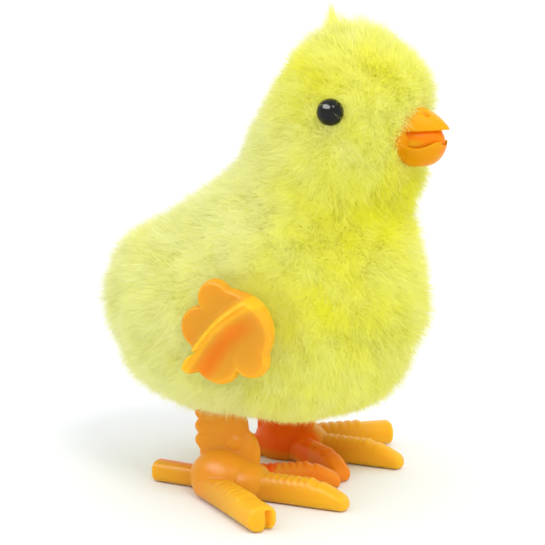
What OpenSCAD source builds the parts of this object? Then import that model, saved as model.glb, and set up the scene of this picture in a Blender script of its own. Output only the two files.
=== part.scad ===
// Wind-up hopping chicken: plush body over a clockwork case, two hopping legs.
// Millimetres, +Z up, the bird faces +X, its left side is +Y, the floor is z = 0.

/* [Body] */
// Lift of the whole plush body above its design height
body_lift = 0; // [-1:0.1:2]
// Thickness of the plush fabric
plush_t = 2; // [1:0.1:3]
// Points round each horizontal section of the soft solids
plush_sides = 48; // [24:8:64]
// Sections between two stations of the soft solids
plush_steps = 3; // [1:1:4]

/* [Eyes and beak] */
// Radius of an eye bead
eye_r = 2.45; // [1.5:0.05:4]
// Forward position of the eyes
eye_x = 16.8; // [12:0.1:20]
// Sideways position of an eye's centre
eye_y = 15; // [12:0.1:18]
// Height of the eyes
eye_z = 72.9; // [60:0.1:80]
// Radius of the shank behind an eye or the beak
shank_r = 0.9; // [0.5:0.05:1.5]
// Forward position of the beak's root
beak_x = 26; // [22:0.1:30]
// Height of the mouth
mouth_z = 68; // [60:0.1:75]
// Length of the upper beak from its root
beak_len = 8.1; // [4:0.1:12]

/* [Winding wing] */
// Forward position of the winding shaft
wind_x = 2.5; // [0:0.1:6]
// Height of the winding shaft
wind_z = 34.4; // [30:0.1:38]
// Distance of the wing's inner face from the middle plane
wing_y = 25; // [23:0.1:28]
// Thickness of the wing's plate
wing_t = 3.4; // [2:0.1:5]
// Radius of the wing's round middle
wing_r = 6.6; // [6:0.1:10]
// Radius of the winding shaft
wind_r = 1.25; // [0.8:0.05:2]

/* [Clockwork] */
// Gear module
gear_m = 0.5; // [0.3:0.05:0.8]
// Teeth of the great wheel
great_n = 40; // [30:1:60]
// Teeth of the second wheel
second_n = 32; // [24:1:50]
// Teeth of both pinions
pinion_n = 10; // [8:1:14]
// Thinning of every tooth at the pitch circle
tooth_thin = 0.1; // [0.02:0.01:0.2]
// Forward position of the crankshaft
crank_x = -5; // [-8:0.1:0]
// Height of the crankshaft
crank_z = 21; // [19:0.1:24]
// Throw of the cranks, half the height of a step
throw = 2.5; // [1.5:0.1:3]
// Radius of the steel arbors
arbor_r = 1; // [0.6:0.05:1.5]
// Radius of a crank pin
pin_r = 1.2; // [0.8:0.05:1.6]
// Radial play of every running fit
play = 0.05; // [0.02:0.01:0.09]
// Half the width of the clockwork case
case_y = 9; // [8:0.1:11]
// Wall thickness of the case
case_t = 1.4; // [1:0.1:2]
// Turns of the mainspring that are modelled
spring_turns = 5; // [3:1:7]

/* [Legs and feet] */
// Distance of a leg plate's inner face from the middle plane
leg_y = 11.6; // [11:0.1:13]
// Thickness of a leg plate
leg_t = 2.8; // [2:0.1:4]
// Width of a leg plate
leg_w = 9.6; // [7:0.1:11]
// Distance of an ankle from the middle plane
ankle_y = 14.2; // [12:0.1:16]
// Forward position of the ankles
ankle_x = -4; // [-8:0.1:0]
// Height of the ankle dome
dome_z = 7.5; // [5:0.1:10]
// Length of a middle toe
toe_len = 23.9; // [18:0.1:28]
// Length of an outer toe
outer_len = 23; // [16:0.1:26]
// Length of an inner toe
inner_len = 21; // [16:0.1:26]
// Length of a hind toe
hind_len = 17; // [10:0.1:18]
// Bearing of an outer toe, outwards from straight ahead
outer_turn = 45; // [30:1:60]
// Bearing of an inner toe, inwards from straight ahead
inner_turn = 36; // [20:1:45]

/* [Hidden] */
$fn = 48;
eps = 0.02;
far = 60;

yellow = [0.93, 0.90, 0.30];
orange = [0.97, 0.66, 0.18];
black = [0.03, 0.03, 0.03];
steel = [0.70, 0.70, 0.72];
white = [0.90, 0.90, 0.88];
grey = [0.45, 0.47, 0.50];

// plush stations: height, rear end, front end, half width
stations = [
    [15.2, -19, 14.5, 15.2],
    [16.4, -22.5, 18.4, 17.2],
    [19.4, -27, 23.6, 20.7],
    [24, -31, 27, 23.7],
    [31, -34.2, 29.2, 25.3],
    [38, -35, 30.2, 26],
    [45, -31.6, 30, 24.2],
    [50, -26, 28.2, 22],
    [54, -19.6, 26, 20.2],
    [58, -12.6, 26.4, 18.6],
    [63, -7.2, 29, 17.6],
    [70, -4, 30.2, 16.8],
    [76, -0.8, 30.2, 15.2],
    [81.5, 3, 28.5, 12.8],
    [85, 6, 25, 9.8],
    [87.5, 9.5, 20.5, 5.6],
    [88.5, 13.5, 16.5, 1.5]];
plush_z0 = stations[0][0];
plush_z1 = stations[len(stations) - 1][0];
mid_half_w = 22;
neck_z = 57;
sole_z = 0;
pan_z = 15.3;
pan_t = 0.9;
pan_x = (stations[0][1] + stations[0][2]) / 2;
pan_rx = 14.9;
pan_ry = 13.9;
case_z0 = pan_z + pan_t;
case_x0 = -20;
case_x1 = 15.5;
case_z1 = 47;
case_round = 8;
soft_gap = 0.5;
head_room = 1.3;
touch = 0.2;

// gear train, seen along the Y axis
great_r = gear_m * great_n / 2;
second_r = gear_m * second_n / 2;
pinion_r = gear_m * pinion_n / 2;
wheel_add = 0.6 * gear_m;
pinion_add = 1.1 * gear_m;
root_gap = 0.3 * gear_m;
c1 = great_r + pinion_r;
c2 = second_r + pinion_r;
wc = [crank_x - wind_x, crank_z - wind_z];
wc_len = norm(wc);
along = (c1 * c1 - c2 * c2 + wc_len * wc_len) / (2 * wc_len);
aside = sqrt(c1 * c1 - along * along);
unit = wc / wc_len;
second_x = wind_x + unit[0] * along + unit[1] * aside;
second_z = wind_z + unit[1] * along - unit[0] * aside;
turn1 = atan2(second_z - wind_z, second_x - wind_x);
turn2 = atan2(crank_z - second_z, crank_x - second_x);
pinion_step = 180 / pinion_n;

great_y = 2.3;
great_t = 2;
second_y = 5;
second_t = 1.6;
pinion_t = 2.2;
spring_y0 = -6.8;
spring_y1 = 1.2;
spring_r0 = 2.2;
spring_r1 = 9.4;
spring_t = 0.35;

disc_gap = 0.3;
disc_t = 1.7;
disc_r = 4.3;
disc_y = case_y + disc_gap;
post_z = crank_z + 8;
post_r = 1;
window_r = throw + post_r + 0.15;
leg_head_r = window_r + 1.25;
leg_top_z = post_z - throw;
pin_z = crank_z - throw;
pin_y1 = leg_y + leg_t + 0.15;
screw_head_r = 2;
screw_head_t = 0.8;
pocket_r = 12;

// Catmull-Rom interpolation of the stations, row k and fraction f
function pick(k) = stations[min(max(k, 0), len(stations) - 1)];
function curve(k, f) =
    let (p = pick(k - 1), q = pick(k), r = pick(k + 1), s = pick(k + 2))
    0.5 * (2 * q + (r - p) * f + (2 * p - 5 * q + 4 * r - s) * f * f
        + (3 * q - p - 3 * r + s) * f * f * f);
rows = concat([for (k = [0 : len(stations) - 2]) for (j = [0 : plush_steps - 1])
    curve(k, j / plush_steps)], [pick(len(stations) - 1)]);

// one elliptical ring of a soft solid, shrunk by the wall t
function ring(row, t) =
    let (s = 1 - t / mid_half_w, z = plush_z0 + (row[0] - plush_z0)
        * (1 - t / (plush_z1 - plush_z0)))
    [for (i = [0 : plush_sides - 1]) let (a = 360 * i / plush_sides)
        [(row[1] + row[2]) / 2 + (row[2] - row[1]) / 2 * s * cos(a),
            row[3] * s * sin(a), z + body_lift]];

// closed solid through the rings, capped flat at both ends
module soft_form(t) {
    n = plush_sides;
    m = len(rows);
    points = [for (row = rows) each ring(row, t)];
    sides = [for (j = [0 : m - 2]) for (i = [0 : n - 1])
        [j * n + i, (j + 1) * n + i, (j + 1) * n + (i + 1) % n, j * n + (i + 1) % n]];
    bottom = [for (i = [0 : n - 1]) i];
    top = [for (i = [n - 1 : -1 : 0]) (m - 1) * n + i];
    polyhedron(points = points, faces = concat(sides, [bottom, top]));
}

// a cylinder lying along Y between y0 and y1
module rod(x, z, r, y0, y1) {
    translate([x, y1, z]) rotate([90, 0, 0]) cylinder(r = r, h = y1 - y0);
}

// a box given by its two corners
module box(a, b) {
    translate(a) cube(b - a);
}

// room the legs, cranks and case take up inside the soft solids
module works_room() {
    translate([0, case_y + head_room, 0]) rotate([90, 0, 0])
        linear_extrude(2 * (case_y + head_room)) case_flat(-soft_gap);
    box([crank_x - leg_head_r - throw - soft_gap, -pin_y1 - screw_head_t - soft_gap, 0],
        [crank_x + leg_head_r + throw + soft_gap, pin_y1 + screw_head_t + soft_gap,
            post_z + throw + leg_head_r + soft_gap]);
}

// involute of a circle of radius rb, at the radius r
function inv_angle(rb, r) = r <= rb ? 0
    : let (t = sqrt(r * r / (rb * rb) - 1)) t * 180 / PI - atan(t);

// gear outline with a tooth centred on the x axis
module gear_flat(n, add, ded) {
    rp = gear_m * n / 2;
    rb = rp * cos(20);
    r0 = rp - ded;
    r1 = rp + add;
    half = 90 / n - tooth_thin / 2 / rp * 180 / PI + inv_angle(rb, rp);
    flank = [for (k = [0 : 4]) let (r = max(r0, rb) + (r1 - max(r0, rb)) * k / 4)
        [r, half - inv_angle(rb, r)]];
    side = r0 < rb ? concat([[r0, half]], flank) : flank;
    tooth = concat([for (p = side) [p[0], -p[1]]],
        [for (k = [len(side) - 1 : -1 : 0]) side[k]]);
    polygon([for (i = [0 : n - 1]) for (p = tooth)
        p[0] * [cos(p[1] + 360 * i / n), sin(p[1] + 360 * i / n)]]);
}

// gear wheel on the axis x, z, with its near face at y0
module wheel(x, z, n, add, ded, phase, y0, t, bore) {
    translate([x, y0 + t, z]) rotate([90, 0, 0]) difference() {
        linear_extrude(t) rotate(phase) gear_flat(n, add, ded);
        translate([0, 0, -1]) cylinder(r = bore, h = t + 2);
    }
}

module plush_cover() {
    color(yellow) difference() {
        soft_form(0);
        difference() {
            soft_form(plush_t);
            box([-far, -far, 0], [far, far, plush_z0 + body_lift + eps]);
        }
        box([-far, -far, 0], [far, far, pan_z + eps]);
        translate([pan_x, 0, 0]) scale([1, (pan_ry + touch) / (pan_rx + touch), 1])
            cylinder(r = pan_rx + touch, h = pan_z + pan_t + soft_gap);
        works_room();
        rod(wind_x, wind_z, wind_r + 1.5, -far, 0);
        rod(wind_x, wind_z, pocket_r, -far, -wing_y + soft_gap);
        for (s = [-1, 1]) translate([eye_x, s * eye_y, eye_z]) {
            sphere(r = eye_r + touch);
            rotate([s * 90, 0, 0]) cylinder(r = shank_r + touch, h = far / 4);
        }
        translate([beak_x - 1.2 - touch, 0, mouth_z]) rotate([0, 90, 0])
            cylinder(r = 5.2 + touch, h = far);
        translate([beak_x - 7, 0, mouth_z]) rotate([0, 90, 0])
            cylinder(r = shank_r + 0.6 + touch, h = far);
    }
}

module head_filling() {
    color(white) difference() {
        soft_form(plush_t + soft_gap);
        box([-far, -far, 0], [far, far, neck_z]);
        for (s = [-1, 1]) {
            translate([eye_x, s * eye_y, eye_z]) sphere(r = eye_r + soft_gap);
            box([eye_x - 4, s > 0 ? eye_y - 5.5 : -far, eye_z - 4],
                [eye_x + 4, s > 0 ? far : 5.5 - eye_y, eye_z + 4]);
        }
        box([beak_x - 7.5, -7, mouth_z - 7], [far, 7, mouth_z + 7]);
    }
}

module body_filling() {
    color(white) difference() {
        soft_form(plush_t + soft_gap);
        box([-far, -far, 0], [far, far, pan_z + pan_t + soft_gap]);
        box([-far, -far, neck_z - soft_gap], [far, far, far * 2]);
        works_room();
        rod(wind_x, wind_z, wind_r + 1.5, -far, 0);
        rod(wind_x, wind_z, pocket_r, -far, -wing_y + plush_t + 1);
    }
}

// bead with its shank pointing inwards, on side s
module eye(s) {
    color(black) translate([eye_x, s * eye_y, eye_z]) {
        sphere(r = eye_r);
        rotate([s * 90, 0, 0]) cylinder(r = shank_r, h = 5);
    }
}

module eye_washer(s) {
    color(white) translate([eye_x, s * (eye_y - eye_r - 1.4), eye_z])
        rotate([s * 90, 0, 0]) difference() {
            cylinder(r = 3, h = 0.8);
            translate([0, 0, -1]) cylinder(r = shank_r, h = 3);
        }
}

module eye_right() { eye(-1); }
module eye_left() { eye(1); }
module eye_washer_right() { eye_washer(-1); }
module eye_washer_left() { eye_washer(1); }

// flattened cone pointing forward, cut flat at the mouth
module mandible(r, len, z, up) {
    intersection() {
        translate([beak_x, 0, z]) rotate([0, 90, 0]) cylinder(r1 = r, r2 = 0.8, h = len);
        box([beak_x - 1, -far, up ? mouth_z + 0.6 : 0],
            [beak_x + len, far, up ? far * 2 : mouth_z - 0.6]);
    }
}

module beak_solid() {
    mandible(5.2, beak_len, mouth_z + 0.6, true);
    mandible(5.2, beak_len - 0.8, mouth_z - 0.6, false);
    translate([beak_x - 1.2, 0, mouth_z]) rotate([0, 90, 0]) cylinder(r = 5.2, h = 1.6);
    translate([beak_x - 6, 0, mouth_z]) rotate([0, 90, 0])
        cylinder(r = shank_r + 0.6, h = 6);
}

module beak() {
    color(orange) beak_solid();
}

module beak_washer() {
    color(white) translate([beak_x - 4.2, 0, mouth_z]) rotate([0, 90, 0]) difference() {
        cylinder(r = 4, h = 0.9);
        translate([0, 0, -1]) cylinder(r = shank_r + 0.6, h = 3);
    }
}

// oval plate with two open notches for the legs
module base_pan() {
    n = 64;
    color(white) difference() {
        translate([pan_x, 0, pan_z]) linear_extrude(pan_t)
            polygon([for (i = [0 : n - 1]) let (a = 360 * i / n) [pan_rx * cos(a), pan_ry * sin(a)]]);
        for (s = [-1, 1]) {
            box([crank_x - leg_w / 2 - throw - soft_gap, s > 0 ? leg_y - soft_gap : -far, 0],
                [crank_x + leg_w / 2 + throw + soft_gap, s > 0 ? far : soft_gap - leg_y,
                    pan_z + 5]);
        }
        for (p = base_spots) translate(p) cylinder(r = base_screw_r, h = pan_z + 5);
    }
}

// self-tapping screws up through the pan into the case floor
module base_screws() {
    color(steel) for (p = base_spots) translate([p[0], p[1], pan_z - 0.9]) {
        difference() {
            cylinder(r = 1.6, h = 0.9);
            box([-0.9, -0.2, -1], [0.9, 0.2, 0.4]);
            box([-0.2, -0.9, -1], [0.2, 0.9, 0.4]);
        }
        translate([0, 0, 0.5]) cylinder(r = base_screw_r, h = 2.5);
    }
}

corner_in = 4.3;
screw_spots = [[case_x0 + corner_in, case_z0 + corner_in],
    [case_x1 - corner_in, case_z0 + corner_in], [case_x0 + corner_in, case_z1 - corner_in]];
base_spots = [[4.8, 5], [-9.2, -5]];
base_screw_r = 0.7;

// flat outline of the case, seen along Y
module case_flat(inset) {
    r = case_round - inset;
    union() {
        translate([case_x0 + case_round, case_z0 + inset])
            square([case_x1 - case_x0 - 2 * case_round, case_z1 - case_z0 - 2 * inset]);
        translate([case_x0 + inset, case_z0 + case_round])
            square([case_x1 - case_x0 - 2 * inset, case_z1 - case_z0 - 2 * case_round]);
        for (x = [case_x0 + case_round, case_x1 - case_round])
            for (z = [case_z0 + case_round, case_z1 - case_round])
                translate([x, z]) circle(r = r);
    }
}

// one half of the case on side s: wall, rim, screw bosses, bearings and guide post
module case_half(s) {
    y0 = s > 0 ? 0 : -case_y;
    c0 = s > 0 ? -eps : -case_y + case_t;
    difference() {
        union() {
            difference() {
                translate([0, y0 + case_y, 0]) rotate([90, 0, 0])
                    linear_extrude(case_y) case_flat(0);
                translate([0, c0 + case_y - case_t + eps, 0]) rotate([90, 0, 0])
                    linear_extrude(case_y - case_t + eps) case_flat(case_t);
            }
            for (p = screw_spots) rod(p[0], p[1], 1.6, y0 + 0.2, y0 + case_y - 0.2);
            rod(crank_x, post_z, post_r, s > 0 ? case_y - 0.5 : -pin_y1,
                s > 0 ? pin_y1 : 0.5 - case_y);
        }
        rod(crank_x, crank_z, arbor_r + play, y0 - 1, y0 + case_y + 1);
        rod(second_x, second_z, arbor_r + play, y0 - 1, y0 + case_y + 1);
        rod(wind_x, wind_z, wind_r + play, y0 - 1, y0 + case_y + 1);
        for (p = screw_spots) rod(p[0], p[1], 0.6, y0 - 1, y0 + case_y + 1);
        for (p = base_spots) translate(p) cylinder(r = base_screw_r, h = case_z0 + case_t + 1);
    }
}

module case_right() { color(grey) case_half(-1); }
module case_left() { color(grey) case_half(1); }

module case_screws() {
    color(steel) for (p = screw_spots) {
        rod(p[0], p[1], 0.6, -case_y, case_y - 1.5);
        rod(p[0], p[1], 1.4, -case_y - 0.7, -case_y);
    }
}

// flat spiral strip from the shaft to the case, wound in the XZ plane
module mainspring() {
    n = 24 * spring_turns;
    grow = (spring_r1 - spring_r0 - spring_t) / n;
    inner = [for (i = [0 : n]) (spring_r0 + grow * i) * [cos(i * 15), sin(i * 15)]];
    outer = [for (i = [n : -1 : 0]) (spring_r0 + spring_t + grow * i) * [cos(i * 15), sin(i * 15)]];
    color(steel) translate([wind_x, spring_y1, wind_z]) rotate([90, 0, 0]) {
        linear_extrude(spring_y1 - spring_y0) polygon(concat(inner, outer));
        translate([wind_r, -0.2, 0]) cube([spring_r0 - wind_r + 0.2, 0.4, spring_y1 - spring_y0]);
    }
}

module winding_shaft() {
    color(steel) difference() {
        rod(wind_x, wind_z, wind_r, -wing_y - 2.6, case_y + 0.6);
        rod(wind_x, wind_z, 0.5, -far, -wing_y + 1.6);
    }
}

// wing outline: a round middle with feather lobes, each a sideways and upward place and a radius
wing_lobes = [[-2.9, 6.2, 3.1], [-5.6, 0.4, 3.9], [-6.6, -6.4, 1.6], [-1.8, -6, 3.8],
    [4.4, -4.8, 3.3], [1.3, 0.2, 7.2]];
module wing_flat() {
    circle(r = wing_r);
    for (lobe = wing_lobes) translate([lobe[0], lobe[1]]) circle(r = lobe[2]);
}

module winding_wing() {
    color(orange) difference() {
        union() {
            translate([wind_x, -wing_y, wind_z]) rotate([90, 0, 0])
                linear_extrude(wing_t) wing_flat();
            translate([wind_x, -wing_y - wing_t + 0.2, wind_z]) rotate([90, 0, 0])
                rotate(49) translate([-9.2, -1.2, 0]) cube([13.4, 2.4, 1.8]);
        }
        rod(wind_x, wind_z, wind_r, -wing_y - 2.6, 0);
        rod(wind_x, wind_z, 0.5, -far, 0);
        rod(wind_x, wind_z, 1.3, -far, -wing_y - wing_t - 0.6);
    }
}

module wing_screw() {
    color(steel) {
        rod(wind_x, wind_z, 1.25, -wing_y - wing_t - 1.2, -wing_y - wing_t - 0.6);
        rod(wind_x, wind_z, 0.5, -wing_y - wing_t - 0.6, -wing_y + 1);
    }
}

module great_wheel() {
    color(white) wheel(wind_x, wind_z, great_n, wheel_add, pinion_add + root_gap,
        turn1, great_y, great_t, wind_r);
}

// second wheel and its pinion, moulded as one piece
module second_wheel() {
    color(white) {
        wheel(second_x, second_z, second_n, wheel_add, pinion_add + root_gap,
            turn2, second_y, second_t, arbor_r);
        wheel(second_x, second_z, pinion_n, pinion_add, wheel_add + root_gap,
            turn1 + 180 + pinion_step, great_y - 0.3, second_y - great_y + 0.3 + eps, arbor_r);
    }
}

module second_arbor() {
    color(steel) rod(second_x, second_z, arbor_r, -case_y, case_y);
}

module crank_axle() {
    color(steel) rod(crank_x, crank_z, arbor_r, -disc_y - disc_t + 0.3, disc_y + disc_t - 0.3);
}

module crank_pinion() {
    color(white) wheel(crank_x, crank_z, pinion_n, pinion_add, wheel_add + root_gap,
        turn2 + 180 + pinion_step, second_y - 0.3, pinion_t, arbor_r);
}

// crank disc with its pin at the bottom of the throw, on side s
module crank(s) {
    a = disc_y;
    b = disc_y + disc_t;
    color(white) difference() {
        union() {
            rod(crank_x, crank_z, disc_r, s > 0 ? a : -b, s > 0 ? b : -a);
            rod(crank_x, pin_z, pin_r, s > 0 ? b - 0.2 : -pin_y1, s > 0 ? pin_y1 : 0.2 - b);
        }
        rod(crank_x, crank_z, arbor_r, s > 0 ? a - 1 : 0.3 - b, s > 0 ? b - 0.3 : 1 - a);
        rod(crank_x, pin_z, 0.5, s > 0 ? b : -pin_y1 - 1, s > 0 ? pin_y1 + 1 : -b);
    }
}

module crank_right() { crank(-1); }
module crank_left() { crank(1); }

// screw whose flat head keeps a leg on its crank pin, on side s
module pin_screw(s) {
    b = disc_y + disc_t;
    color(steel) {
        rod(crank_x, pin_z, screw_head_r, s > 0 ? pin_y1 : -pin_y1 - screw_head_t,
            s > 0 ? pin_y1 + screw_head_t : -pin_y1);
        rod(crank_x, pin_z, 0.5, s > 0 ? b : -pin_y1, s > 0 ? pin_y1 : -b);
    }
}

module pin_screw_right() { pin_screw(-1); }
module pin_screw_left() { pin_screw(1); }

// toe: a tapering round bar from the ankle to a rounded tip
module toe(len, turn, r0, r1) {
    rotate([0, 0, turn]) {
        translate([0, 0, r1 - 0.5]) rotate([0, 90, 0]) cylinder(r1 = r0, r2 = r1, h = len - r1);
        translate([len - r1, 0, r1 - 0.5]) sphere(r = r1);
    }
}

// leg plate, head with guide window and pin bore, and the four-toed foot, on side s
module leg(s) {
    a = s > 0 ? leg_y : -leg_y - leg_t;
    b = s > 0 ? leg_y + leg_t : -leg_y;
    color(orange) difference() {
        union() {
            box([crank_x - leg_w / 2, a, dome_z - 3], [crank_x + leg_w / 2, b, leg_top_z]);
            rod(crank_x, leg_top_z, leg_head_r, a, b);
            intersection() {
                translate([ankle_x, s * ankle_y, sole_z]) {
                    translate([0, 0, dome_z - 4]) sphere(r = 4.8);
                    toe(toe_len, 0, 3, 2.7);
                    toe(outer_len, s * outer_turn, 3, 2.7);
                    toe(inner_len, -s * inner_turn, 3, 2.7);
                    toe(hind_len, 180, 3, 2.6);
                }
                box([-far, -far, sole_z], [far, far, far]);
            }
        }
        rod(crank_x, pin_z, pin_r + play, -far, far);
        rod(crank_x, leg_top_z, window_r, -far, far);
    }
}

module leg_right() { leg(-1); }
module leg_left() { leg(1); }

plush_cover();
head_filling();
body_filling();
eye_right();
eye_left();
eye_washer_right();
eye_washer_left();
beak();
beak_washer();
base_pan();
base_screws();
case_right();
case_left();
case_screws();
mainspring();
winding_shaft();
winding_wing();
wing_screw();
great_wheel();
second_wheel();
second_arbor();
crank_axle();
crank_pinion();
crank_right();
crank_left();
pin_screw_right();
pin_screw_left();
leg_right();
leg_left();
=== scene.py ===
# Wind-up hopping chick: long-pile plush, bead eyes, open beak, winding wing and two moulded feet.
# Sizes in the dictionaries are in millimetres unless they say otherwise.
import math
import bmesh
import bpy
import numpy as np
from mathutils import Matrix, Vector


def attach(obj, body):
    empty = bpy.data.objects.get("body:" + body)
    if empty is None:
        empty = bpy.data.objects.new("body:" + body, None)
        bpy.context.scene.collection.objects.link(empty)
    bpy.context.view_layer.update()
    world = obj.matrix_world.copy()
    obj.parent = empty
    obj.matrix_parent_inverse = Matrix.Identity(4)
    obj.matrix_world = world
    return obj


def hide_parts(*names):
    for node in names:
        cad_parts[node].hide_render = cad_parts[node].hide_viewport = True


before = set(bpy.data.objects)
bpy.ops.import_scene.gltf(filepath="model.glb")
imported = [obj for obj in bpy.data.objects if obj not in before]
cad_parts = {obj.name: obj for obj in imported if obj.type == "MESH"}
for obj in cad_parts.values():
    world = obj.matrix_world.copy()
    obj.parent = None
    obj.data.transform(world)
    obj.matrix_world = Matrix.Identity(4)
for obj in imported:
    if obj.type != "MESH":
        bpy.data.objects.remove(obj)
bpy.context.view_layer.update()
mm = 0.001
scene = bpy.context.scene
print("frame loaded", len(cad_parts), "nodes")


# a mesh from whole arrays: points n x 3 in mm, faces m x k of indices
def makeMesh(name, points, faces, smooth=True):
    mesh = bpy.data.meshes.new(name)
    faces = np.asarray(faces, np.int32)
    count, sides = faces.shape
    mesh.vertices.add(len(points))
    mesh.vertices.foreach_set("co", (np.asarray(points, float) * mm).ravel())
    mesh.loops.add(count * sides)
    mesh.loops.foreach_set("vertex_index", faces.ravel())
    mesh.polygons.add(count)
    mesh.polygons.foreach_set("loop_start", np.arange(0, count * sides, sides, dtype=np.int32))
    mesh.update(calc_edges=True)
    mesh.polygons.foreach_set("use_smooth", np.full(count, smooth))
    piece = bpy.data.objects.new(name, mesh)
    scene.collection.objects.link(piece)
    return piece


# quads of a grid of rows x cols points; a wrapped direction joins its last line to its first
def gridFaces(rows, cols, wrapCols=True, start=0):
    r = np.arange(rows - 1)[:, None]
    c = np.arange(cols if wrapCols else cols - 1)[None, :]
    d = (c + 1) % cols
    quads = np.stack([r * cols + c + 0 * d, r * cols + d, (r + 1) * cols + d, (r + 1) * cols + c], -1)
    return quads.reshape(-1, 4) + start


# closed loft: rings is rows x cols x 3, with a pole point at each end
def loft(name, rings, smooth=True):
    rows, cols = rings.shape[:2]
    body = gridFaces(rows, cols)
    points = np.vstack([rings.reshape(-1, 3), rings[0].mean(0), rings[-1].mean(0)])
    piece = makeMesh(name, points, body, smooth)
    mesh = piece.data
    first = np.arange(cols)
    last = first + (rows - 1) * cols
    a = np.stack([np.roll(first, -1), first, np.full(cols, rows * cols)], -1)
    b = np.stack([last, np.roll(last, -1), np.full(cols, rows * cols + 1)], -1)
    tris = np.vstack([a, b]).astype(np.int32)
    loops = len(mesh.loops)
    faces = len(mesh.polygons)
    bodyIndex = np.empty(loops, np.int32)
    mesh.loops.foreach_get("vertex_index", bodyIndex)
    starts = np.concatenate([np.arange(faces) * 4, loops + np.arange(len(tris)) * 3])
    mesh.clear_geometry()
    mesh.vertices.add(len(points))
    mesh.vertices.foreach_set("co", (points * mm).ravel())
    mesh.loops.add(loops + tris.size)
    mesh.loops.foreach_set("vertex_index", np.concatenate([bodyIndex, tris.ravel()]))
    mesh.polygons.add(len(starts))
    mesh.polygons.foreach_set("loop_start", starts.astype(np.int32))
    mesh.update(calc_edges=True)
    mesh.polygons.foreach_set("use_smooth", np.full(len(starts), smooth))
    return piece


# turns every face normal outwards
def outward(piece):
    bm = bmesh.new()
    bm.from_mesh(piece.data)
    bmesh.ops.recalc_face_normals(bm, faces=bm.faces)
    bm.to_mesh(piece.data)
    bm.free()
    return piece


# applies every modifier of a piece to its mesh
def applyAll(piece):
    graph = bpy.context.evaluated_depsgraph_get()
    solid = bpy.data.meshes.new_from_object(piece.evaluated_get(graph))
    piece.modifiers.clear()
    piece.data = solid
    return piece


# joins overlapping closed shells into one moulded skin, with soft inner corners
def fuse(pieces, name, voxel, rounds):
    for piece in pieces:
        piece.select_set(False)
    with bpy.context.temp_override(active_object=pieces[0], object=pieces[0],
                                   selected_objects=pieces, selected_editable_objects=pieces):
        bpy.ops.object.join()
    whole = pieces[0]
    whole.name = name
    whole.data.name = name
    remesh = whole.modifiers.new("skin", "REMESH")
    remesh.mode = "VOXEL"
    remesh.voxel_size = voxel * mm
    remesh.use_smooth_shade = True
    soften = whole.modifiers.new("soften", "SMOOTH")
    soften.factor = 0.5
    soften.iterations = rounds
    return applyAll(whole)


def unitRows(v):
    return v / np.maximum(np.linalg.norm(v, axis=-1, keepdims=True), 1e-9)


# positions of a piece's vertices in mm
def placesOf(piece):
    places = np.empty(len(piece.data.vertices) * 3)
    piece.data.vertices.foreach_get("co", places)
    return places.reshape(-1, 3) / mm


# gives every vertex the painted light and shade that the plastic's colour follows
def paintLightAndShade(piece, tone):
    layer = piece.data.attributes.new("tone", "FLOAT", "POINT")
    layer.data.foreach_set("value", np.clip(tone, 0, 1).astype(np.float32))
    return piece


# smooth noise in -1..1: a few sine waves of seeded direction at one wavelength
def waves(points, length, seed, count=7):
    rng = np.random.default_rng(seed)
    way = unitRows(rng.normal(size=(count, 3))) * (2 * math.pi / length) * rng.uniform(0.7, 1.4, (count, 1))
    phase = rng.uniform(0, 2 * math.pi, count)
    return np.sin(points @ way.T + phase).sum(-1) / math.sqrt(count)


# a socket with the arithmetic operators, so that shader maths reads as plain expressions
class Wire:
    def __init__(self, finish, socket):
        self.finish = finish
        self.socket = socket

    def maths(self, operation, other):
        return self.finish.node("ShaderNodeMath", {"operation": operation}, {0: self, 1: other})

    def __add__(self, other):
        return self.maths("ADD", other)

    __radd__ = __add__

    def __sub__(self, other):
        return self.maths("SUBTRACT", other)

    def __mul__(self, other):
        return self.maths("MULTIPLY", other)

    def clipped(self):
        return self.finish.node("ShaderNodeClamp", {}, {"Value": self})


# a material under construction: node() adds any node, from its type, settings and socket values
class Finish:
    def __init__(self, name):
        self.material = bpy.data.materials.new(name)
        self.material.use_nodes = True
        self.tree = self.material.node_tree
        self.tree.nodes.clear()

    def node(self, kind, settings=None, values=None, output=0):
        made = self.tree.nodes.new(kind)
        for key, value in (settings or {}).items():
            if key == "stops":
                ramp = made.color_ramp
                while len(ramp.elements) > len(value):
                    ramp.elements.remove(ramp.elements[-1])
                while len(ramp.elements) < len(value):
                    ramp.elements.new(1)
                for stop, (place, colour) in zip(ramp.elements, value):
                    stop.position = place
                    stop.color = colour
            else:
                setattr(made, key, value)
        for key, value in (values or {}).items():
            if isinstance(value, Wire):
                self.tree.links.new(value.socket, made.inputs[key])
            else:
                made.inputs[key].default_value = value
        return Wire(self, made.outputs[output]) if made.outputs else None

    def noise(self, scale, detail):
        where = self.node("ShaderNodeTexCoord", output=3)
        return self.node("ShaderNodeTexNoise", {}, {"Vector": where, "Scale": scale, "Detail": detail,
                                                    "Roughness": 0.55})

    def between(self, factor, first, second):
        return self.node("ShaderNodeMix", {"data_type": "RGBA"},
                         {0: factor, 6: first, 7: second}, output=2)

    def bump(self, height, strength, distance):
        return self.node("ShaderNodeBump", {}, {"Height": height, "Strength": strength,
                                                "Distance": distance})

    def surface(self, values):
        return self.node("ShaderNodeBsdfPrincipled", {}, values)

    def done(self, shader):
        self.node("ShaderNodeOutputMaterial", {}, {"Surface": shader})
        return self.material


# gives a piece its finish, its slot and the moving body that it rides
def dress(piece, material, body):
    piece.data.materials.clear()
    piece.data.materials.append(material)
    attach(piece, body)
    return piece


# paleRoot and paleTip are the pile's colours in painted light, mixed in where the pile catches light
pileColour = {
    "root": (0.955, 0.92, 0.022, 1), "middle": (0.965, 0.945, 0.028, 1), "tip": (0.965, 0.957, 0.036, 1),
    "paleRoot": (0.965, 0.972, 0.28, 1), "paleTip": (0.975, 0.985, 0.57, 1), "through": 0.2,
}
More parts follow.
